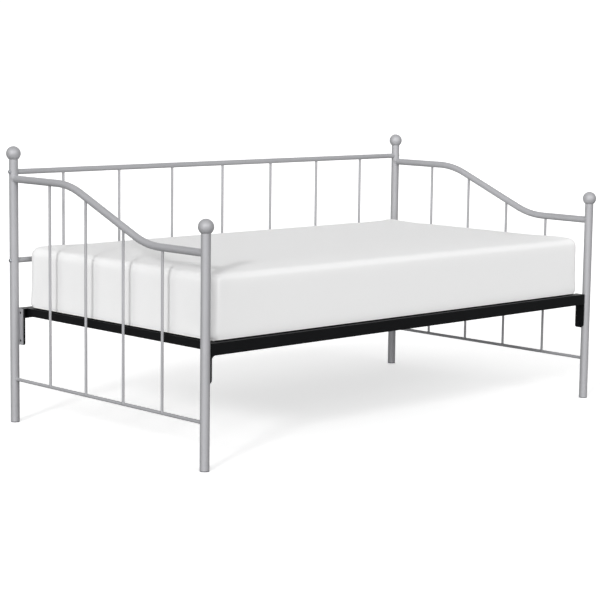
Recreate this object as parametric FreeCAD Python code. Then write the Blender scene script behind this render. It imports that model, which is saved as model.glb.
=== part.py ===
import FreeCAD, Part
import math
import os

os.makedirs("parts", exist_ok=True)

Vec = FreeCAD.Vector
along_x = Vec(1, 0, 0)
along_y = Vec(0, 1, 0)
along_z = Vec(0, 0, 1)

# Layout of the four posts, measured between their axes.
post_spacing_x = 1970.0
post_spacing_y = 1045.0
post_x = post_spacing_x / 2
post_y = post_spacing_y / 2

# Posts, ball finials and foot glides.
post_radius = 16.0
post_wall = 1.5
post_bore = post_radius - post_wall
finial_radius = 26.0
front_ball_z = 788.0
rear_ball_z = 967.0
ball_seat = math.sqrt(finial_radius ** 2 - post_radius ** 2)
push_fit_gap = 0.1
finial_spigot_length = 22.0
glide_flange = 3.0
glide_plug_length = 20.0

# Side panels: a curved top rail, a low rod and four spindles each.
side_rail_radius = 12.7
side_rail_wall = 1.5
side_rail_rear_z = 877.0
side_rail_front_z = 704.0
side_rail_first_bend = 329.0
side_rail_second_bend = 748.0
side_rail_bend_radius = 350.0
rod_radius = 6.0
rod_z = 157.0
spindle_radius = 4.75
side_spindle_count = 4
side_spindle_pitch = 205.0

# Back panel: two straight rails and seven spindles.
back_rail_radius = 9.5
back_rail_wall = 1.5
back_rail_bore = back_rail_radius - back_rail_wall
back_top_rail_z = 902.0
back_lower_rail_z = 586.0
back_spindle_count = 7
back_spindle_pitch = 256.0

# Bolts that hold the back rails to the rear posts.
back_bolt_radius = 3.0
back_bolt_hole = 3.3
back_bolt_reach = 20.0
back_bolt_head_radius = 6.5
back_bolt_head_height = 4.5
insert_length = 26.0
thread_gap = 0.05

# Deck: depths below are measured inward from the post axes.
deck_top = 413.0
steel = 3.0
long_rail_width = 40.0
long_rail_height = 40.0
long_rail_outset = 7.0
long_rail_inner = long_rail_width - long_rail_outset
end_rail_inset = 35.0
end_rail_height = 28.0
end_rail_width = 28.0

# Corner brackets of the deck and the flag plates they bolt to.
flag_inset = post_radius
flag_thickness = 4.0
flag_front = -2.0
flag_rear = 25.0
flag_weld_leg = 4.0
flag_weld_reach = 11.0
bracket_inset = flag_inset + flag_thickness
bracket_bottom = 281.0
bracket_outer_corner = 15.0
bracket_inner_corner = 8.0
gusset_length = 40.0
gusset_fillet = 20.0
deck_bolt_radius = 4.0
deck_bolt_hole = 4.1
deck_bolt_depth = 14.0
deck_bolt_heights = (296.0, 397.0)
deck_bolt_head_flats = 13.0
deck_bolt_head_height = 5.3

# Slats under the long rails' flanges, and the spine below them.
slat_count = 12
slat_width = 40.0
slat_height = 12.0
slat_sheet = 1.5
slat_end_gap = 0.5
spine_width = 40.0
spine_height = 13.0
spine_wall = 1.5

# Mattress: a standard twin, lying loose on the deck.
mattress_length = 1905.0
mattress_front_inset = -2.0
mattress_rear_inset = 12.0
mattress_thickness = 224.0
mattress_gap = 0.6
mattress_corner = 30.0
mattress_top_edge = 29.0
mattress_bottom_edge = 22.0

sides = {"left": -1, "right": 1}
ends = {"front": -1, "rear": 1}


def save(node, shape):
    shape.exportStep("parts/" + node + ".step")


def group(solids):
    return Part.makeCompound(solids)


def box(x_range, y_range, z_range):
    x0, x1 = sorted(x_range)
    y0, y1 = sorted(y_range)
    z0, z1 = sorted(z_range)
    return Part.makeBox(x1 - x0, y1 - y0, z1 - z0, Vec(x0, y0, z0))


def rod_between(start, end, radius):
    return Part.makeCylinder(radius, (end - start).Length, start, end - start)


def tube_between(start, end, radius, wall):
    outer = rod_between(start, end, radius)
    return outer.cut(rod_between(start, end, radius - wall))


def post_envelope(side, end):
    base = Vec(side * post_x, end * post_y, 0)
    return Part.makeCylinder(post_radius, rear_ball_z, base)


def posts_of_side(side):
    return [post_envelope(side, end) for end in ends.values()]


def inset_x(side, depth):
    return side * (post_x - depth)


def inset_y(end, depth):
    return end * (post_y - depth)


def corner_box(side, end, x_depths, y_depths, z_range):
    x_range = [inset_x(side, depth) for depth in x_depths]
    y_range = [inset_y(end, depth) for depth in y_depths]
    return box(x_range, y_range, z_range)


# Posts, finials and glides.

def ball_height(end):
    return rear_ball_z if end > 0 else front_ball_z


def make_post(side, end):
    bottom = Vec(side * post_x, end * post_y, glide_flange)
    top = Vec(side * post_x, end * post_y, ball_height(end) - ball_seat)
    post = tube_between(bottom, top, post_radius, post_wall)
    if end > 0:
        for rail_z in (back_top_rail_z, back_lower_rail_z):
            hole_start = Vec(side * post_x - 2 * post_radius, end * post_y, rail_z)
            hole_end = Vec(side * post_x + 2 * post_radius, end * post_y, rail_z)
            post = post.cut(rod_between(hole_start, hole_end, back_bolt_hole))
    return post


def make_finial(side, end):
    centre = Vec(side * post_x, end * post_y, ball_height(end))
    seat_z = centre.z - ball_seat
    ball = Part.makeSphere(finial_radius, centre)
    below_seat = Part.makeCylinder(
        2 * finial_radius, 2 * finial_radius, Vec(centre.x, centre.y, seat_z), -along_z)
    spigot = Part.makeCylinder(
        post_bore - push_fit_gap, finial_spigot_length,
        Vec(centre.x, centre.y, seat_z - finial_spigot_length))
    return ball.cut(below_seat).fuse(spigot).removeSplitter()


def make_glide(side, end):
    base = Vec(side * post_x, end * post_y, 0)
    flange = Part.makeCylinder(post_radius, glide_flange, base)
    plug = Part.makeCylinder(post_bore - push_fit_gap, glide_flange + glide_plug_length, base)
    return flange.fuse(plug).removeSplitter()


glides = []
for end_name, end in ends.items():
    for side_name, side in sides.items():
        corner = end_name + "_" + side_name
        save(corner + "_post", make_post(side, end))
        save(corner + "_finial", make_finial(side, end))
        glides.append(make_glide(side, end))
save("foot_glides", group(glides))


# Side panels.

def bent_path(points, radius):
    """Straight runs through the points, joined by tangent arcs."""
    edges = []
    start = points[0]
    for before, corner, after in zip(points, points[1:], points[2:]):
        into = (corner - before).normalize()
        out = (after - corner).normalize()
        half_turn = into.getAngle(out) / 2
        setback = radius * math.tan(half_turn)
        arc_start = corner - into * setback
        arc_end = corner + out * setback
        inward = (out - into).normalize()
        centre = corner + inward * (radius / math.cos(half_turn))
        arc_middle = centre - inward * radius
        edges.append(Part.makeLine(start, arc_start))
        edges.append(Part.Arc(arc_start, arc_middle, arc_end).toShape())
        start = arc_end
    edges.append(Part.makeLine(start, points[-1]))
    return Part.Wire(edges)


def swept_bar(path, start, radius):
    profile = Part.Wire([Part.makeCircle(radius, start, along_y)])
    return path.makePipeShell([profile], True, False)


def side_rail_outline(side, radius):
    start = Vec(side * post_x, post_y, side_rail_rear_z)
    points = [
        start,
        Vec(start.x, post_y - side_rail_first_bend, side_rail_rear_z),
        Vec(start.x, post_y - side_rail_second_bend, side_rail_front_z),
        Vec(start.x, -post_y, side_rail_front_z),
    ]
    return swept_bar(bent_path(points, side_rail_bend_radius), start, radius)


def lower_rod_bar(side):
    start = Vec(side * post_x, -post_y, rod_z)
    return rod_between(start, Vec(start.x, post_y, rod_z), rod_radius)


for side_name, side in sides.items():
    rail_bar = side_rail_outline(side, side_rail_radius)
    rail_bore = side_rail_outline(side, side_rail_radius - side_rail_wall)
    rod_bar = lower_rod_bar(side)
    save(side_name + "_side_top_rail", rail_bar.cut(rail_bore).cut(posts_of_side(side)))
    save(side_name + "_side_lower_rod", rod_bar.cut(posts_of_side(side)))
    for index in range(side_spindle_count):
        step = (side_spindle_count - 1) / 2 - index
        foot = Vec(side * post_x, step * side_spindle_pitch, rod_z)
        head_z = side_rail_rear_z
        if index >= side_spindle_count / 2:
            head_z = side_rail_front_z + 3 * side_rail_radius
        # The spindle is cut long, then trimmed to the underside of the rail.
        spindle = rod_between(foot, Vec(foot.x, foot.y, head_z), spindle_radius)
        pieces = spindle.cut([rail_bar, rod_bar]).Solids
        lowest = min(pieces, key=lambda piece: piece.CenterOfMass.z)
        save(side_name + "_side_spindle_" + str(index + 1), lowest)


# Back panel.

def back_rail_span(rail_z):
    return Vec(-post_x, post_y, rail_z), Vec(post_x, post_y, rail_z)


rear_posts = [post_envelope(side, 1) for side in sides.values()]
back_rails = {"back_top_rail": back_top_rail_z, "back_lower_rail": back_lower_rail_z}
back_rail_bars = []
back_bolts = []
back_inserts = []
for rail_name, rail_z in back_rails.items():
    start, end = back_rail_span(rail_z)
    save(rail_name, tube_between(start, end, back_rail_radius, back_rail_wall).cut(rear_posts))
    back_rail_bars.append(rod_between(start, end, back_rail_radius))
    for side in sides.values():
        axis_point = Vec(side * post_x, post_y, rail_z)
        inward = Vec(-side, 0, 0)
        outward = Vec(side, 0, 0)
        plug = Part.makeCylinder(
            back_rail_bore - push_fit_gap, post_radius + insert_length, axis_point, inward)
        thread = Part.makeCylinder(
            back_bolt_radius + thread_gap, post_radius + 2 * insert_length, axis_point, inward)
        back_inserts.append(plug.cut([thread] + rear_posts))
        head_seat = axis_point + outward * (post_radius - 2)
        head = Part.makeCylinder(back_bolt_head_radius, 2 + back_bolt_head_height, head_seat, outward)
        head = head.makeFillet(
            back_bolt_head_height * 0.6,
            [edge for edge in head.Edges
             if abs(edge.CenterOfMass.x - head_seat.x) > 2 + back_bolt_head_height * 0.9])
        head = head.cut(rear_posts)
        shank_start = axis_point + outward * (post_radius + 1)
        shank_length = 1 + 2 * post_radius + back_bolt_reach
        shank = Part.makeCylinder(back_bolt_radius, shank_length, shank_start, inward)
        back_bolts.append(head.fuse(shank).removeSplitter())
save("back_rail_bolts", group(back_bolts))
save("back_rail_inserts", group(back_inserts))

for index in range(back_spindle_count):
    spindle_x = (index - (back_spindle_count - 1) / 2) * back_spindle_pitch
    low = Vec(spindle_x, post_y, back_lower_rail_z)
    high = Vec(spindle_x, post_y, back_top_rail_z)
    spindle = rod_between(low, high, spindle_radius)
    save("back_spindle_" + str(index + 1), spindle.cut(back_rail_bars))


# Flag plates and corner brackets.

def bolt_bore(side, end, height, radius):
    start = Vec(inset_x(side, flag_inset - 1), inset_y(end, deck_bolt_depth), height)
    reach = flag_thickness + steel + 2
    return Part.makeCylinder(radius, reach, start, Vec(-side, 0, 0))


def make_flag(side, end):
    z_range = (bracket_bottom, deck_top - 1)
    plate = corner_box(
        side, end, (flag_inset, flag_inset + flag_thickness), (flag_front, flag_rear), z_range)
    weld = corner_box(
        side, end, (flag_inset - flag_weld_leg, flag_inset), (0, flag_weld_reach), z_range)
    flag = plate.fuse(weld.cut(post_envelope(side, end)))
    bores = [bolt_bore(side, end, height, deck_bolt_radius + thread_gap)
             for height in deck_bolt_heights]
    return flag.cut(bores).removeSplitter()


def rounded_ear(side, end):
    """The bracket's upright plate, with its two lower corners rounded."""
    ear = corner_box(
        side, end, (bracket_inset, bracket_inset + steel),
        (-long_rail_outset, long_rail_inner), (bracket_bottom, deck_top))
    outer_y = inset_y(end, -long_rail_outset)
    low_edges = [edge for edge in ear.Edges
                 if edge.BoundBox.XLength > steel / 2 and edge.CenterOfMass.z < bracket_bottom + 1]
    outer = [edge for edge in low_edges if abs(edge.CenterOfMass.y - outer_y) < 1]
    ear = ear.makeFillet(bracket_outer_corner, outer)
    inner_y = inset_y(end, long_rail_inner)
    inner = [edge for edge in ear.Edges
             if edge.BoundBox.XLength > steel / 2
             and edge.CenterOfMass.z < bracket_bottom + 1
             and abs(edge.CenterOfMass.y - inner_y) < 1]
    return ear.makeFillet(bracket_inner_corner, inner)


def make_gusset(side, end):
    """Web behind the long rail, with a hollow fillet running down into the ear."""
    rail_bottom = deck_top - long_rail_height
    near = bracket_inset + steel
    y_depths = (steel - long_rail_outset, 2 * steel - long_rail_outset)
    web = corner_box(
        side, end, (near, near + gusset_length), y_depths, (rail_bottom, deck_top - steel))
    toe = corner_box(
        side, end, (near, near + gusset_fillet), y_depths,
        (rail_bottom - gusset_fillet, rail_bottom))
    hollow_axis = Vec(
        inset_x(side, near + gusset_fillet), inset_y(end, 0) - long_rail_width,
        rail_bottom - gusset_fillet)
    hollow = Part.makeCylinder(gusset_fillet, 2 * long_rail_width, hollow_axis, along_y)
    return web.fuse(toe.cut(hollow))


def make_bracket(side, end):
    bracket = rounded_ear(side, end).fuse(make_gusset(side, end))
    bores = [bolt_bore(side, end, height, deck_bolt_hole) for height in deck_bolt_heights]
    return bracket.cut(bores).removeSplitter()


def hexagon_head(side, start):
    circumradius = deck_bolt_head_flats / math.sqrt(3)
    points = []
    for corner in range(7):
        angle = math.radians(60 * corner)
        offset = Vec(0, circumradius * math.cos(angle), circumradius * math.sin(angle))
        points.append(start + offset)
    face = Part.Face(Part.makePolygon(points))
    return face.extrude(Vec(-side * deck_bolt_head_height, 0, 0))


deck_bolts = []
for end_name, end in ends.items():
    for side_name, side in sides.items():
        corner = end_name + "_" + side_name
        save(corner + "_flag_plate", make_flag(side, end))
        save(corner + "_deck_bracket", make_bracket(side, end))
        for height in deck_bolt_heights:
            tip = Vec(inset_x(side, flag_inset), inset_y(end, deck_bolt_depth), height)
            shank = Part.makeCylinder(
                deck_bolt_radius, flag_thickness + steel, tip, Vec(-side, 0, 0))
            seat = Vec(inset_x(side, bracket_inset + steel), tip.y, height)
            deck_bolts.append(shank.fuse(hexagon_head(side, seat)).removeSplitter())
save("deck_bolts", group(deck_bolts))


# Deck rails, slats and spine.
rail_end_x = post_x - bracket_inset - steel
for end_name, end in ends.items():
    web = box(
        (-rail_end_x, rail_end_x),
        (inset_y(end, -long_rail_outset), inset_y(end, steel - long_rail_outset)),
        (deck_top - long_rail_height, deck_top))
    flange = box(
        (-rail_end_x, rail_end_x),
        (inset_y(end, -long_rail_outset), inset_y(end, long_rail_inner)),
        (deck_top - steel, deck_top))
    save(end_name + "_deck_rail", web.fuse(flange).removeSplitter())

flange_gap = post_y - long_rail_inner
web_gap = post_y + long_rail_outset - steel
for side_name, side in sides.items():
    x_depths = [inset_x(side, end_rail_inset), inset_x(side, end_rail_inset + steel)]
    low_web = box(
        x_depths, (-(web_gap - steel), web_gap - steel),
        (deck_top - end_rail_height, deck_top - steel))
    high_web = box(x_depths, (-flange_gap, flange_gap), (deck_top - steel, deck_top))
    flange = box(
        (inset_x(side, end_rail_inset), inset_x(side, end_rail_inset + end_rail_width)),
        (-flange_gap, flange_gap), (deck_top - steel, deck_top))
    save(side_name + "_end_rail", low_web.fuse([high_web, flange]).removeSplitter())

slat_top = deck_top - steel
slat_end = web_gap - slat_end_gap
slat_pitch = 2 * (post_x - end_rail_inset) / (slat_count + 1)
for index in range(slat_count):
    slat_x = (index - (slat_count - 1) / 2) * slat_pitch
    outer = box(
        (slat_x - slat_width / 2, slat_x + slat_width / 2), (-slat_end, slat_end),
        (slat_top - slat_height, slat_top))
    hollow = box(
        (slat_x - slat_width / 2 + slat_sheet, slat_x + slat_width / 2 - slat_sheet),
        (-2 * slat_end, 2 * slat_end), (slat_top - 2 * slat_height, slat_top - slat_sheet))
    save("slat_" + str(index + 1), outer.cut(hollow))

spine_top = slat_top - slat_height
spine_end = post_x - end_rail_inset - steel
spine = box(
    (-spine_end, spine_end), (-spine_width / 2, spine_width / 2),
    (spine_top - spine_height, spine_top))
spine_bore = box(
    (-2 * spine_end, 2 * spine_end),
    (-spine_width / 2 + spine_wall, spine_width / 2 - spine_wall),
    (spine_top - spine_height + spine_wall, spine_top - spine_wall))
save("centre_spine", spine.cut(spine_bore))


# Mattress.
mattress_bottom = deck_top + mattress_gap
mattress = box(
    (-mattress_length / 2, mattress_length / 2),
    (mattress_front_inset - post_y, post_y - mattress_rear_inset),
    (mattress_bottom, mattress_bottom + mattress_thickness))
upright = [edge for edge in mattress.Edges if edge.BoundBox.ZLength > mattress_thickness / 2]
mattress = mattress.makeFillet(mattress_corner, upright)
top_edges = [edge for edge in mattress.Edges
             if edge.BoundBox.ZMin > mattress_bottom + mattress_thickness / 2]
mattress = mattress.makeFillet(mattress_top_edge, top_edges)
bottom_edges = [edge for edge in mattress.Edges
                if edge.BoundBox.ZMax < mattress_bottom + mattress_bottom_edge / 2]
mattress = mattress.makeFillet(mattress_bottom_edge, bottom_edges)
save("mattress", mattress)
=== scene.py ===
import math

import bpy
import numpy as np
from mathutils import Matrix, Vector


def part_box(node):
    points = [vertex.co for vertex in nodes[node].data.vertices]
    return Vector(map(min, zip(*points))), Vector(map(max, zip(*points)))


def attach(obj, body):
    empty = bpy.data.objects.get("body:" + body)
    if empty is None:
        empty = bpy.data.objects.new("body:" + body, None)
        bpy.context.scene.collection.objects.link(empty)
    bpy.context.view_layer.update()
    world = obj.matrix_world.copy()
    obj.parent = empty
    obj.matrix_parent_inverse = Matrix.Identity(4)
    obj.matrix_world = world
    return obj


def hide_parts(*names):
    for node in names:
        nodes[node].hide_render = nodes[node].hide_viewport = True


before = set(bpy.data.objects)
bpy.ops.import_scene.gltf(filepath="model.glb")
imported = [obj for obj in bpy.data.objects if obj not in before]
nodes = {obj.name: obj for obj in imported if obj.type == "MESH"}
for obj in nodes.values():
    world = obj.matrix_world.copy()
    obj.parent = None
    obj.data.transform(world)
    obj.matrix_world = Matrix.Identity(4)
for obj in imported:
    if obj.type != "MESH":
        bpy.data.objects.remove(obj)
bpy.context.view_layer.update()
print("frame loaded:", len(nodes), "nodes")


def linearColour(hexText):
    values = [int(hexText[i:i + 2], 16) / 255 for i in (1, 3, 5)]
    return tuple(v / 12.92 if v <= 0.04045 else ((v + 0.055) / 1.055) ** 2.4 for v in values) + (1.0,)


def addNode(tree, kind, settings=None, links=None):
    # a setting is a property of the node or, failing that, one of its sockets by name or number
    node = tree.nodes.new(kind)
    for name, value in (settings or {}).items():
        if hasattr(node, str(name)):
            setattr(node, name, value)
        else:
            node.inputs[name].default_value = value
    for name, source in (links or {}).items():
        tree.links.new(source, node.inputs[name])
    return node


def scaleFor(millimetres):
    # texture scale that gives a pattern cells of this size
    return 1000 / millimetres


def newFinish(name):
    material = bpy.data.materials.new(name)
    material.use_nodes = True
    tree = material.node_tree
    tree.nodes.clear()
    shader = addNode(tree, "ShaderNodeBsdfPrincipled")
    addNode(tree, "ShaderNodeOutputMaterial", links={"Surface": shader.outputs["BSDF"]})
    place = addNode(tree, "ShaderNodeTexCoord")
    return material, tree, shader, place


def clearSelection():
    if bpy.context.object and bpy.context.object.mode != "OBJECT":
        bpy.ops.object.mode_set(mode="OBJECT")
    bpy.ops.object.select_all(action="DESELECT")


def makeActive(piece):
    clearSelection()
    piece.select_set(True)
    bpy.context.view_layer.objects.active = piece


def settle(piece):
    # place goes into the mesh, and the object back to the origin
    makeActive(piece)
    bpy.ops.object.transform_apply(location=True, rotation=True, scale=True)


def finishPiece(piece, body, material):
    piece.data.materials.clear()
    piece.data.materials.append(material)
    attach(piece, body)


def readPoints(mesh):
    points = np.empty(len(mesh.vertices) * 3)
    mesh.vertices.foreach_get("co", points)
    return points.reshape(-1, 3)


def middleOf(name):
    low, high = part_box(name)
    return (Vector(low) + Vector(high)) / 2


def halfOf(name):
    low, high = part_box(name)
    return (Vector(high) - Vector(low)) / 2


def makeSilverCoat():
    # polyester powder coat with fine aluminium flake over steel tube: satin, neutral grey,
    # a soft wide highlight, faint orange peel, and rub marks low down by the feet
    material, tree, shader, place = newFinish("silverPowderCoat")
    where = {"Vector": place.outputs["Object"]}
    drift = addNode(tree, "ShaderNodeTexNoise",
                    {"Scale": scaleFor(143), "Detail": 3.0, "Roughness": 0.5}, where)
    driftColour = addNode(tree, "ShaderNodeMix",
                          {"data_type": "RGBA", 6: linearColour("#A0A0A3"), 7: linearColour("#ABABAE")},
                          {"Factor": drift.outputs["Fac"]})
    # real flakes are far finer than 1.1 mm; drawn wider so that they show close up
    flake = addNode(tree, "ShaderNodeTexVoronoi", {"Scale": scaleFor(1.1)}, where)
    flakeRange = addNode(tree, "ShaderNodeMapRange", {"To Max": 0.16}, {"Value": flake.outputs["Color"]})
    flaked = addNode(tree, "ShaderNodeMix", {"data_type": "RGBA", 7: linearColour("#C3C4C7")},
                     {"Factor": flakeRange.outputs["Result"], 6: driftColour.outputs[2]})
    # scuffs: only within 90 mm of the floor, in marks of about 17 mm
    split = addNode(tree, "ShaderNodeSeparateXYZ", links=where)
    low = addNode(tree, "ShaderNodeMapRange",
                  {"From Min": 0.012, "From Max": 0.09, "To Min": 1.0, "To Max": 0.0},
                  {"Value": split.outputs["Z"]})
    scuff = addNode(tree, "ShaderNodeTexNoise",
                    {"Scale": scaleFor(16.7), "Detail": 5.0, "Roughness": 0.65}, where)
    scuffEdge = addNode(tree, "ShaderNodeMapRange",
                        {"From Min": 0.54, "From Max": 0.62, "To Max": 0.55},
                        {"Value": scuff.outputs["Fac"]})
    scuffMask = addNode(tree, "ShaderNodeMath", {"operation": "MULTIPLY"},
                        {0: low.outputs["Result"], 1: scuffEdge.outputs["Result"]})
    worn = addNode(tree, "ShaderNodeMix", {"data_type": "RGBA", 7: linearColour("#8E8F92")},
                   {"Factor": scuffMask.outputs["Value"], 6: flaked.outputs[2]})
    gloss = addNode(tree, "ShaderNodeMapRange", {"To Min": 0.42, "To Max": 0.52},
                    {"Value": drift.outputs["Fac"]})
    peel = addNode(tree, "ShaderNodeTexNoise", {"Scale": scaleFor(2.4), "Detail": 1.5}, where)
    bump = addNode(tree, "ShaderNodeBump", {"Strength": 0.5, "Distance": 0.00006},
                   {"Height": peel.outputs["Fac"]})
    tree.links.new(worn.outputs[2], shader.inputs["Base Color"])
    tree.links.new(gloss.outputs["Result"], shader.inputs["Roughness"])
    tree.links.new(bump.outputs["Normal"], shader.inputs["Normal"])
    shader.inputs["Metallic"].default_value = 0.12     # the flake's share
    shader.inputs["IOR"].default_value = 1.5
    return material


def makeBlackCoat():
    # black polyester powder coat on pressed steel: satin, near black with a cold cast, fine grain
    material, tree, shader, place = newFinish("blackPowderCoat")
    where = {"Vector": place.outputs["Object"]}
    drift = addNode(tree, "ShaderNodeTexNoise", {"Scale": scaleFor(71.4), "Detail": 3.0}, where)
    tone = addNode(tree, "ShaderNodeMix",
                   {"data_type": "RGBA", 6: linearColour("#060708"), 7: linearColour("#0C0D10")},
                   {"Factor": drift.outputs["Fac"]})
    gloss = addNode(tree, "ShaderNodeMapRange", {"To Min": 0.42, "To Max": 0.56},
                    {"Value": drift.outputs["Fac"]})
    grain = addNode(tree, "ShaderNodeTexNoise", {"Scale": scaleFor(1.4), "Detail": 2.0}, where)
    bump = addNode(tree, "ShaderNodeBump", {"Strength": 0.6, "Distance": 0.00008},
                   {"Height": grain.outputs["Fac"]})
    tree.links.new(tone.outputs[2], shader.inputs["Base Color"])
    tree.links.new(gloss.outputs["Result"], shader.inputs["Roughness"])
    tree.links.new(bump.outputs["Normal"], shader.inputs["Normal"])
    shader.inputs["IOR"].default_value = 1.45
    shader.inputs["Specular IOR Level"].default_value = 0.25
    return material


def makeBoltMetal(name, pale, deep, roughness):
    # plated or blackened steel fasteners: bare metal glint, tarnished in patches of about 6 mm
    material, tree, shader, place = newFinish(name)
    tarnish = addNode(tree, "ShaderNodeTexNoise", {"Scale": scaleFor(6.25), "Detail": 4.0},
                      {"Vector": place.outputs["Object"]})
    tone = addNode(tree, "ShaderNodeMix",
                   {"data_type": "RGBA", 6: linearColour(deep), 7: linearColour(pale)},
                   {"Factor": tarnish.outputs["Fac"]})
    gloss = addNode(tree, "ShaderNodeMapRange", {"To Min": roughness - 0.06, "To Max": roughness + 0.1},
                    {"Value": tarnish.outputs["Fac"]})
    tree.links.new(tone.outputs[2], shader.inputs["Base Color"])
    tree.links.new(gloss.outputs["Result"], shader.inputs["Roughness"])
    shader.inputs["Metallic"].default_value = 1.0
    return material


def makeGlidePlastic():
    # moulded polyethylene foot: mid grey, waxy, faintly mottled
    material, tree, shader, place = newFinish("mouldedGlidePlastic")
    mottle = addNode(tree, "ShaderNodeTexNoise", {"Scale": scaleFor(11.1), "Detail": 4.0},
                     {"Vector": place.outputs["Object"]})
    tone = addNode(tree, "ShaderNodeMix",
                   {"data_type": "RGBA", 6: linearColour("#5C5E61"), 7: linearColour("#707276")},
                   {"Factor": mottle.outputs["Fac"]})
    bump = addNode(tree, "ShaderNodeBump", {"Strength": 0.4, "Distance": 0.0001},
                   {"Height": mottle.outputs["Fac"]})
    tree.links.new(tone.outputs[2], shader.inputs["Base Color"])
    tree.links.new(bump.outputs["Normal"], shader.inputs["Normal"])
    shader.inputs["Roughness"].default_value = 0.5
    shader.inputs["IOR"].default_value = 1.51
    return material


def makeTicking(name, pale, deep, threadSpacing):
    # woven cotton ticking, bleached white: matt, soft at glancing angles, an even plain weave.
    # real threads are 0.5 mm apart; drawn wider so that they show
    material, tree, shader, place = newFinish(name)
    bandScale = math.pi / 10 / (threadSpacing / 1000)     # bands repeat every pi / 10 metres at scale 1
    thread = {"wave_type": "BANDS", "wave_profile": "SIN", "Scale": bandScale, "Distortion": 0.6,
              "Detail": 1.0, "Detail Scale": 0.4}
    drift = addNode(tree, "ShaderNodeTexNoise", {"Scale": scaleFor(200), "Detail": 2.0},
                    {"Vector": place.outputs["Object"]})
    across = addNode(tree, "ShaderNodeTexWave", thread | {"bands_direction": "X"},
                     {"Vector": place.outputs["UV"]})
    along = addNode(tree, "ShaderNodeTexWave", thread | {"bands_direction": "Y"},
                    {"Vector": place.outputs["UV"]})
    # plain weave: over and under change places at each crossing, so the two waves are
    # centred on zero, multiplied, and brought back to 0 to 1
    warp = addNode(tree, "ShaderNodeMath", {"operation": "SUBTRACT", 1: 0.5}, {0: across.outputs["Fac"]})
    weft = addNode(tree, "ShaderNodeMath", {"operation": "SUBTRACT", 1: 0.5}, {0: along.outputs["Fac"]})
    crossing = addNode(tree, "ShaderNodeMath", {"operation": "MULTIPLY"},
                       {0: warp.outputs["Value"], 1: weft.outputs["Value"]})
    weave = addNode(tree, "ShaderNodeMath", {"operation": "MULTIPLY_ADD", 1: 2.0, 2: 0.5},
                    {0: crossing.outputs["Value"]})
    threadShade = addNode(tree, "ShaderNodeMapRange", {"To Min": 0.15, "To Max": 0.85},
                          {"Value": weave.outputs["Value"]})
    driftShade = addNode(tree, "ShaderNodeMapRange", {"To Min": 0.8, "To Max": 1.15},
                         {"Value": drift.outputs["Fac"]})
    shade = addNode(tree, "ShaderNodeMath", {"operation": "MULTIPLY"},
                    {0: threadShade.outputs["Result"], 1: driftShade.outputs["Result"]})
    tone = addNode(tree, "ShaderNodeMix",
                   {"data_type": "RGBA", 6: linearColour(deep), 7: linearColour(pale)},
                   {"Factor": shade.outputs["Value"]})
    bump = addNode(tree, "ShaderNodeBump", {"Strength": 0.35, "Distance": 0.0003},
                   {"Height": weave.outputs["Value"]})
    tree.links.new(tone.outputs[2], shader.inputs["Base Color"])
    tree.links.new(bump.outputs["Normal"], shader.inputs["Normal"])
    shader.inputs["Roughness"].default_value = 0.85
    shader.inputs["IOR"].default_value = 1.46
    shader.inputs["Sheen Weight"].default_value = 0.15
    shader.inputs["Sheen Roughness"].default_value = 0.4
    return material


silverCoat = makeSilverCoat()
blackCoat = makeBlackCoat()
zincPlate = makeBoltMetal("zincPlatedSteel", "#C9CBCF", "#A9ACB2", 0.32)
blackOxide = makeBoltMetal("blackOxideSteel", "#3A3B3F", "#222327", 0.42)
glidePlastic = makeGlidePlastic()
ticking = makeTicking("whiteCottonTicking", "#F2F2F2", "#EBEBEB", 1.6)     # thread spacing in millimetres
tapeCotton = makeTicking("whiteEdgeTape", "#F4F4F3", "#E8E8E6", 1.2)
print("materials made")

finishOfSlot = {
    "grey_coat": silverCoat,
    "black_coat": blackCoat,
    "zinc": zincPlate,
    "black_bolt": blackOxide,
    "grey_plastic": glidePlastic,
    "mattress_cover": ticking,
}
slotOfNode = {
    "mattress": "mattress_cover",
    "foot_glides": "grey_plastic",
    "back_rail_bolts": "zinc",
    "back_rail_inserts": "zinc",
    "deck_bolts": "black_bolt",
}


def slotOf(nodeName):
    if nodeName in slotOfNode:
        return slotOfNode[nodeName]
    ofDeck = any(word in nodeName for word in ("deck", "slat", "end_rail", "centre_spine"))
    return "black_coat" if ofDeck else "grey_coat"


for nodeName, node in nodes.items():
    finish = finishOfSlot[slotOf(nodeName)]
    if not node.material_slots:
        node.data.materials.append(finish)
    for slot in node.material_slots:
        slot.material = finish
print("finishes given to the frame")


mattressShape = {
    "startInset": 0.004,          # the pad swells, so it starts smaller
    "cornerRadius": 0.032,        # seen from above
    "topEdgeRadius": 0.026,
    "bottomEdgeRadius": 0.016,
    "voxel": 0.014,
    "pickWithin": 0.001,          # how near a face its edges lie
    "baseBand": 0.004,            # points this near the base make up the underside
    "baseFlat": 0.0004,           # how flat the underside is made on the slats
    "sagOnSlats": 0.0024,         # the base settles this far between the rails, on to the slats
    "sagRun": 0.012,              # how far in from the rails the base is fully down
    "railGap": 0.001,
    "rearSwell": 0.0005,          # keeps the rear face clear of the back rail
    "moveCap": 0.009,
}
padCloth = {
    "quality": 4,
    "mass": 0.4,
    "stretch": 30,
    "shear": 12,
    "bend": 4,
    "pressure": 4.0,
    "frames": 20,
}


def selectEdges(piece, test):
    # picks edges by the place of their two ends, in edit mode's edge select
    bpy.ops.object.mode_set(mode="EDIT")
    bpy.ops.mesh.select_mode(type="EDGE")
    bpy.ops.mesh.select_all(action="DESELECT")
    bpy.ops.object.mode_set(mode="OBJECT")
    for edge in piece.data.edges:
        start, end = [piece.data.vertices[i].co for i in edge.vertices]
        edge.select = test(start, end)
    bpy.ops.object.mode_set(mode="EDIT")


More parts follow.
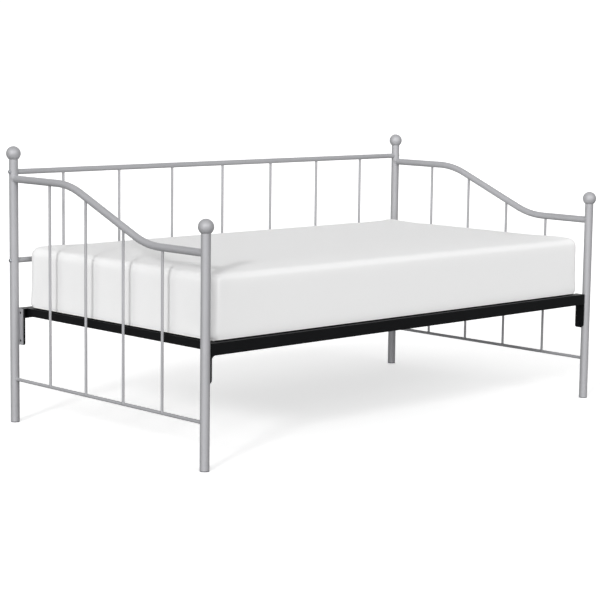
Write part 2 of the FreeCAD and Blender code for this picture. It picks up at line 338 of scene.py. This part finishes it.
def layFabric(piece):
    # lays the cloth flat on each side in metres, so that the weave keeps one size
    mesh = piece.data
    layer = mesh.uv_layers.new(name="cloth") if not mesh.uv_layers else mesh.uv_layers[0]
    corner = np.empty(len(mesh.loops), dtype=np.int64)
    mesh.loops.foreach_get("vertex_index", corner)
    normals = np.empty(len(mesh.polygons) * 3)
    mesh.polygons.foreach_get("normal", normals)
    sizes = np.empty(len(mesh.polygons), dtype=np.int64)
    mesh.polygons.foreach_get("loop_total", sizes)
    facing = np.repeat(np.abs(normals.reshape(-1, 3)).argmax(axis=1), sizes)[:, None]
    place = readPoints(mesh)[corner]
    flat = np.where(facing == 0, place[:, [1, 2]],
                    np.where(facing == 1, place[:, [0, 2]], place[:, [0, 1]]))
    layer.data.foreach_set("uv", np.ascontiguousarray(flat, dtype=np.float32).ravel())


def roundedBlock(low, high):
    inset = mattressShape["startInset"]
    near = mattressShape["pickWithin"]
    size = high - low
    clearSelection()
    bpy.ops.mesh.primitive_cube_add(size=1.0, location=(low + high) / 2)
    pad = bpy.context.object
    pad.name = "mattressPad"
    pad.scale = (size.x - 2 * inset, size.y - 2 * inset, size.z - inset)
    pad.location.z = low.z + (size.z - inset) / 2
    settle(pad)
    top, bottom = high.z - inset, low.z
    selectEdges(pad, lambda a, b: abs(a.z - b.z) > size.z / 2)
    bpy.ops.mesh.bevel(offset=mattressShape["cornerRadius"], segments=8, profile=0.5, affect="EDGES")
    selectEdges(pad, lambda a, b: a.z > top - near and b.z > top - near)
    bpy.ops.mesh.bevel(offset=mattressShape["topEdgeRadius"], segments=6, profile=0.5, affect="EDGES")
    selectEdges(pad, lambda a, b: a.z < bottom + near and b.z < bottom + near)
    bpy.ops.mesh.bevel(offset=mattressShape["bottomEdgeRadius"], segments=3, profile=0.5, affect="EDGES")
    bpy.ops.object.mode_set(mode="OBJECT")
    even = pad.modifiers.new("even", "REMESH")
    even.mode = "VOXEL"
    even.voxel_size = mattressShape["voxel"]
    bpy.ops.object.modifier_apply(modifier="even")
    return pad


def swellPad(pad, low, high):
    # the cover is blown out by its filling, with the underside held on the deck
    start = readPoints(pad.data)
    underside = np.nonzero(start[:, 2] < low.z + mattressShape["baseBand"])[0]
    held = pad.vertex_groups.new(name="held")
    held.add([int(i) for i in underside], 1.0, "REPLACE")
    cloth = pad.modifiers.new("swell", "CLOTH")
    settings = cloth.settings
    settings.quality = padCloth["quality"]
    settings.mass = padCloth["mass"]
    settings.tension_stiffness = padCloth["stretch"]
    settings.compression_stiffness = padCloth["stretch"]
    settings.shear_stiffness = padCloth["shear"]
    settings.bending_stiffness = padCloth["bend"]
    settings.use_pressure = True
    settings.uniform_pressure_force = padCloth["pressure"]
    settings.effector_weights.gravity = 0
    settings.vertex_group_mass = "held"
    cloth.collision_settings.use_collision = False
    cloth.point_cache.frame_start = 1
    cloth.point_cache.frame_end = padCloth["frames"]
    for step in range(1, padCloth["frames"] + 1):
        bpy.context.scene.frame_set(step)
    makeActive(pad)
    bpy.ops.object.modifier_apply(modifier="swell")
    move = readPoints(pad.data) - start
    length = np.maximum(np.linalg.norm(move, axis=1, keepdims=True), 1e-9)     # still points divide by this
    print("mattress swelled by up to", round(float(length.max()) * 1000, 1), "mm before the cap")
    cap = mattressShape["moveCap"]
    swollen = start + move / length * cap * np.tanh(length / cap)
    swollen[:, 2] = np.maximum(swollen[:, 2], low.z)
    swollen[:, 1] = np.minimum(swollen[:, 1], high.y + mattressShape["rearSwell"])
    pad.data.vertices.foreach_set("co", swollen.ravel())
    pad.vertex_groups.clear()
    bpy.context.scene.frame_set(1)


def settleOnSlats(pad, bottom):
    # inside the long and end rails' flanges the base hangs down to the slats
    band, flat = mattressShape["baseBand"], mattressShape["baseFlat"]
    limitY = abs(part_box("front_deck_rail")[1][1]) - mattressShape["railGap"]
    limitX = abs(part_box("left_end_rail")[1][0]) - mattressShape["railGap"]
    for vertex in pad.data.vertices:
        if vertex.co.z < bottom + band:
            inside = min(limitY - abs(vertex.co.y), limitX - abs(vertex.co.x))
            reach = min(max(inside / mattressShape["sagRun"], 0.0), 1.0)
            level = min(vertex.co.z, bottom + flat + band * (1 - reach))
            vertex.co.z = level - mattressShape["sagOnSlats"] * reach


def makeMattress():
    low, high = (Vector(corner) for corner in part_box("mattress"))
    pad = roundedBlock(low, high)
    swellPad(pad, low, high)
    settleOnSlats(pad, low.z)
    finer = pad.modifiers.new("finer", "SUBSURF")
    finer.levels = finer.render_levels = 1
    makeActive(pad)
    bpy.ops.object.modifier_apply(modifier="finer")
    bpy.ops.object.shade_smooth()
    layFabric(pad)
    return pad


mattressPad = makeMattress()
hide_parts("mattress")
finishPiece(mattressPad, "mattress_body", ticking)
print("mattress made:", len(mattressPad.data.polygons), "faces")


edgeTape = {
    "height": 0.005,          # above the mattress's base
    "radius": 0.0018,
    "mergeWithin": 0.0015,
    "roundness": 2,
}


def makeEdgeTape(pad):
    # bound edge of the cover: the pad's own outline a little above its base
    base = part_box("mattress")[0][2]
    clearSelection()
    tape = pad.copy()
    tape.data = pad.data.copy()
    tape.name = "mattressEdgeTape"
    bpy.context.scene.collection.objects.link(tape)
    makeActive(tape)
    bpy.ops.object.mode_set(mode="EDIT")
    bpy.ops.mesh.select_all(action="SELECT")
    bpy.ops.mesh.bisect(plane_co=(0, 0, base + edgeTape["height"]), plane_no=(0, 0, 1),
                        use_fill=False, clear_inner=True, clear_outer=True)
    bpy.ops.mesh.select_all(action="SELECT")
    bpy.ops.mesh.remove_doubles(threshold=edgeTape["mergeWithin"])
    bpy.ops.object.mode_set(mode="OBJECT")
    bpy.ops.object.convert(target="CURVE")
    tape = bpy.context.object
    tape.data.bevel_depth = edgeTape["radius"]
    tape.data.bevel_resolution = edgeTape["roundness"]
    bpy.ops.object.convert(target="MESH")
    tape = bpy.context.object
    bpy.ops.object.shade_smooth()
    layFabric(tape)
    return tape


mattressTape = makeEdgeTape(mattressPad)
finishPiece(mattressTape, "mattress_body", tapeCotton)
print("edge tape made:", len(mattressTape.data.polygons), "faces")


beadShape = {
    "segments": 20,
    "sides": 6,
    "spindleBead": 0.0013,    # half thickness of the bead round a spindle
    "tubeBead": 0.0019,
    "standOff": 0.25,         # of the half thickness, how far the bead stands off the tube
    "ripple": 0.16,
    "rippleCount": 9,
}


def addBead(centre, axis, across, tubeRadius, otherRadius, thick):
    # a ring of weld where a tube meets the side of another: "axis" is the tube's own line,
    # "across" the line square to both tubes, along which the ring wraps down
    clearSelection()
    axis, across = Vector(axis).normalized(), Vector(across).normalized()
    turn = Vector((0, 0, 1)).rotation_difference(axis)
    bpy.ops.mesh.primitive_torus_add(location=centre, rotation=turn.to_euler(),
                                     major_segments=beadShape["segments"], minor_segments=beadShape["sides"],
                                     major_radius=tubeRadius + thick * beadShape["standOff"],
                                     minor_radius=thick)
    ring = bpy.context.object
    settle(ring)
    middle = Vector(centre)
    for vertex in ring.data.vertices:
        offset = vertex.co - middle
        side = offset.dot(across)
        sink = otherRadius - math.sqrt(max(otherRadius ** 2 - side ** 2, 0.0))
        angle = math.atan2(side, offset.dot(axis.cross(across)))
        flat = offset - axis * offset.dot(axis)
        wave = math.cos(angle * beadShape["rippleCount"]) * thick / tubeRadius
        ripple = 1 + beadShape["ripple"] * wave
        vertex.co = middle + axis * (offset.dot(axis) - sink) + flat * ripple
    return ring


def joinPieces(pieces, name):
    clearSelection()
    for piece in pieces:
        piece.select_set(True)
    bpy.context.view_layer.objects.active = pieces[0]
    bpy.ops.object.join()
    joined = bpy.context.object
    joined.name = name
    makeActive(joined)
    bpy.ops.object.mode_set(mode="EDIT")
    bpy.ops.mesh.select_all(action="SELECT")
    bpy.ops.mesh.normals_make_consistent(inside=False)
    bpy.ops.object.mode_set(mode="OBJECT")
    bpy.ops.object.shade_smooth()
    return joined


def spindlesOf(panel):
    return sorted(name for name in nodes if name.startswith(panel + "_spindle_"))


def weldBackPanel():
    rings = []
    topRail, lowRail = middleOf("back_top_rail"), middleOf("back_lower_rail")
    railRadius = halfOf("back_lower_rail").z
    for name in spindlesOf("back"):
        spindle, radius = middleOf(name), halfOf(name).x
        for rail, facing in ((topRail, -1), (lowRail, 1)):
            centre = (spindle.x, rail.y, rail.z + facing * railRadius)
            rings.append(addBead(centre, (0, 0, facing), (0, 1, 0),
                                 radius, railRadius, beadShape["spindleBead"]))
    return joinPieces(rings, "backPanelWelds")


def weldSidePanel(side):
    rings = []
    rod = middleOf(side + "_side_lower_rod")
    rodRadius = halfOf(side + "_side_lower_rod").z
    for name in spindlesOf(side + "_side"):
        spindle, radius = middleOf(name), halfOf(name).x
        rings.append(addBead((spindle.x, spindle.y, rod.z + rodRadius), (0, 0, 1), (1, 0, 0),
                             radius, rodRadius, beadShape["spindleBead"]))
    return joinPieces(rings, side + "PanelWelds")


def weldPosts():
    rings = []
    for side in ("left", "right"):
        rod = middleOf(side + "_side_lower_rod")
        rodRadius = halfOf(side + "_side_lower_rod").z
        low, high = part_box(side + "_side_top_rail")
        railRadius = (high[0] - low[0]) / 2
        for end, name, railZ in ((1, "rear", high[2] - railRadius), (-1, "front", low[2] + railRadius)):
            post = middleOf("%s_%s_post" % (name, side))
            postRadius = halfOf("%s_%s_post" % (name, side)).x
            for height, radius in ((rod.z, rodRadius), (railZ, railRadius)):
                rings.append(addBead((post.x, post.y - end * postRadius, height), (0, -end, 0), (1, 0, 0),
                                     radius, postRadius, beadShape["tubeBead"]))
    return joinPieces(rings, "postWelds")


for piece in (weldBackPanel(), weldSidePanel("left"), weldSidePanel("right"), weldPosts()):
    finishPiece(piece, "frame", silverCoat)
print("weld beads made")


floorPlan = {
    "size": 80.0,
    "drop": 0.0005,       # just below the feet
    "glow": 0.46,         # keeps the ground white while shadows still show
}


def makeFloor():
    # matt white studio ground, unseen by bounced light and reflections
    clearSelection()
    bpy.ops.mesh.primitive_plane_add(size=floorPlan["size"], location=(0, 0, -floorPlan["drop"]))
    floor = bpy.context.object
    floor.name = "studioFloor"
    material, _, shader, _ = newFinish("studioWhite")
    shader.inputs["Base Color"].default_value = linearColour("#F4F4F4")
    shader.inputs["Roughness"].default_value = 0.9
    shader.inputs["Emission Color"].default_value = linearColour("#FFFFFF")
    shader.inputs["Emission Strength"].default_value = floorPlan["glow"]
    floor.data.materials.append(material)
    floor.visible_diffuse = False
    floor.visible_glossy = False


# where each sun stands from the bed, its power, and its spread in degrees
sunPlan = {
    "keyLight": ((-0.811, -0.404, 0.423), 1.2, 9.0),
    "softLight": ((-0.85, -0.42, 0.32), 1.6, 85.0),
    "backLight": ((0.68, 0.72, 0.08), 1.0, 70.0),
    "fillLight": ((-0.1, -0.86, 0.4), 1.05, 30.0),
}
roomPlan = {
    "above": 0.29,
    "below": 0.21,
    "blend": 0.15,        # how far each side of level the two run together
    "seen": 1.05,         # what the camera sees past the floor
}


def addSun(name, fromWhere, power, spread):
    lamp = bpy.data.lights.new(name, "SUN")
    lamp.energy = power
    lamp.angle = math.radians(spread)
    holder = bpy.data.objects.new(name, lamp)
    bpy.context.scene.collection.objects.link(holder)
    holder.rotation_mode = "QUATERNION"
    holder.rotation_quaternion = Vector(fromWhere).to_track_quat("Z", "Y")
    holder.location = Vector(fromWhere) * 5      # only to find it: a sun lights from any distance


def makeRoom():
    white = linearColour("#FFFFFF")
    room = bpy.data.worlds.new("studioRoom")
    room.use_nodes = True
    tree = room.node_tree
    tree.nodes.clear()
    place = addNode(tree, "ShaderNodeTexCoord")
    split = addNode(tree, "ShaderNodeSeparateXYZ", links={"Vector": place.outputs["Generated"]})
    level = addNode(tree, "ShaderNodeMapRange",
                    {"From Min": -roomPlan["blend"], "From Max": roomPlan["blend"],
                     "To Min": roomPlan["below"], "To Max": roomPlan["above"]},
                    {"Value": split.outputs["Z"]})
    soft = addNode(tree, "ShaderNodeBackground", {"Color": white}, {"Strength": level.outputs["Result"]})
    wall = addNode(tree, "ShaderNodeBackground", {"Color": white, "Strength": roomPlan["seen"]})
    ray = addNode(tree, "ShaderNodeLightPath")
    both = addNode(tree, "ShaderNodeMixShader",
                   links={"Fac": ray.outputs["Is Camera Ray"],
                          1: soft.outputs["Background"], 2: wall.outputs["Background"]})
    addNode(tree, "ShaderNodeOutputWorld", links={"Surface": both.outputs["Shader"]})
    bpy.context.scene.world = room
    bpy.context.scene.view_settings.view_transform = "Standard"


cameraPlan = {
    "place": (-4.7766, -4.9182, 1.3475),
    "heading": -44.674,     # degrees round the bed
    "down": 7.422,          # degrees below level
    "roll": 0.864,
    "lens": 110.56,
    "sensor": 36.0,
    "shift": (-0.05, -0.0167),
    "farthest": 200.0,
}


def makeCamera():
    view = bpy.data.cameras.new("camera")
    view.sensor_width = cameraPlan["sensor"]
    view.lens = cameraPlan["lens"]
    view.shift_x, view.shift_y = cameraPlan["shift"]
    view.clip_end = cameraPlan["farthest"]
    holder = bpy.data.objects.new("camera", view)
    bpy.context.scene.collection.objects.link(holder)
    turn = (Matrix.Rotation(math.radians(cameraPlan["heading"]), 4, "Z")
            @ Matrix.Rotation(math.radians(90 - cameraPlan["down"]), 4, "X")
            @ Matrix.Rotation(math.radians(cameraPlan["roll"]), 4, "Z"))
    holder.matrix_world = Matrix.Translation(cameraPlan["place"]) @ turn
    bpy.context.scene.camera = holder


makeFloor()
for name, (fromWhere, power, spread) in sunPlan.items():
    addSun(name, fromWhere, power, spread)
makeRoom()
makeCamera()
clearSelection()
print("studio ready")
